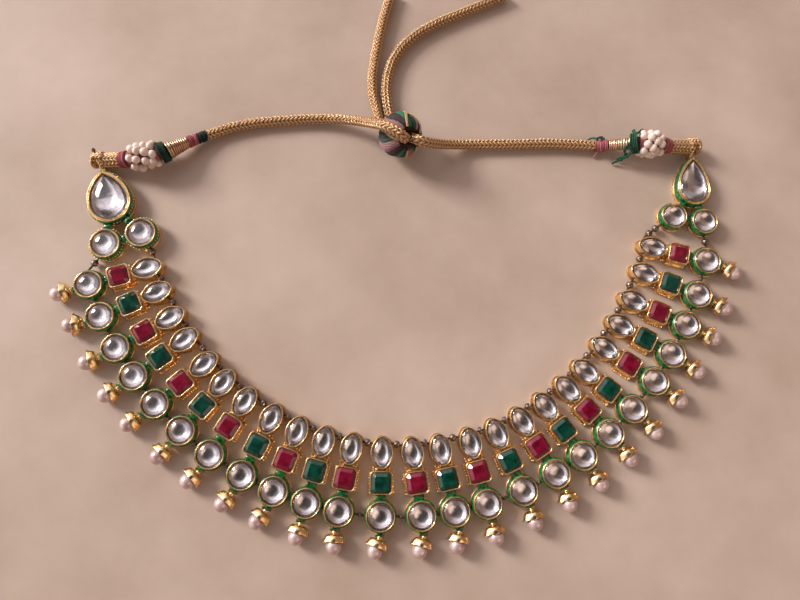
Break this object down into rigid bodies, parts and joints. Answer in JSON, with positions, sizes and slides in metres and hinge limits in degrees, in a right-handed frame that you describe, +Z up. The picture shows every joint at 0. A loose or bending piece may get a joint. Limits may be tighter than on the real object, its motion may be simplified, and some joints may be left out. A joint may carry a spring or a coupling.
{
  "type": "kundan necklace",
  "caption": "Gilt collar necklace of stone-set bars with pearl drops, strung between two drop-shaped end pieces, with braided tie cords and a wound slider.",
  "frame": {"origin": "on the resting surface, under the middle of the necklace without its two cords and their slider", "axes": "+Z up from the surface, +Y from the pearl drops towards the tie cords, +X to the right as the necklace is seen from above"},
  "size_m": [0.237, 0.2048, 0.0191],
  "materials": {
    "gold": "polished",
    "antique_metal": "worn",
    "clear_glass": "polished",
    "ruby_glass": "polished",
    "emerald_glass": "polished",
    "pearl": "pearly",
    "green_enamel": "glossy",
    "brown_thread": "twisted",
    "zari_braid": "braided",
    "pink_thread": "wound",
    "green_thread": "wound",
    "copper_wire": "wound",
    "white_beads": "glossy",
    "slider_thread": "wound"
  },
  "bodies": {
    "root": {"bar_setting_01": "gold", "bar_setting_02": "gold", "bar_setting_03": "gold", "bar_setting_04": "gold", "bar_setting_05": "gold", "bar_setting_06": "gold", "bar_setting_07": "gold", "bar_setting_08": "gold", "bar_setting_09": "gold", "bar_setting_10": "gold", "bar_setting_11": "gold", "bar_setting_12": "gold", "bar_setting_13": "gold", "bar_setting_14": "gold", "bar_setting_15": "gold", "bar_setting_16": "gold", "bar_setting_17": "gold", "bar_setting_18": "gold", "bar_setting_19": "gold", "bar_setting_20": "gold", "bar_setting_21": "gold", "bar_setting_22": "gold", "bar_setting_23": "gold", "bar_setting_24": "gold", "bar_setting_25": "gold", "left_end_setting": "gold", "right_end_setting": "gold", "oval_stones": "clear_glass", "ruby_stones": "ruby_glass", "emerald_stones": "emerald_glass", "round_stones": "clear_glass", "left_drop_stone": "clear_glass", "right_drop_stone": "clear_glass", "bar_enamel": "green_enamel", "end_enamel": "green_enamel", "petal_caps": "gold", "pearls": "pearl", "spacer_beads": "antique_metal", "upper_thread": "brown_thread", "lower_thread": "brown_thread", "left_braid_stub": "zari_braid", "left_pink_wrap": "pink_thread", "left_bead_cluster": "white_beads", "left_green_wrap": "green_thread", "left_wire_cone": "copper_wire", "left_pink_tie": "pink_thread", "left_green_knot": "green_thread", "right_braid_stub": "zari_braid", "right_pink_wrap": "pink_thread", "right_bead_cluster": "white_beads", "right_green_wrap": "green_thread", "right_wire_coil": "copper_wire", "right_pink_tie": "pink_thread", "left_cord": "zari_braid", "right_cord": "zari_braid", "slider": "slider_thread"}
  },
  "joints": []
}
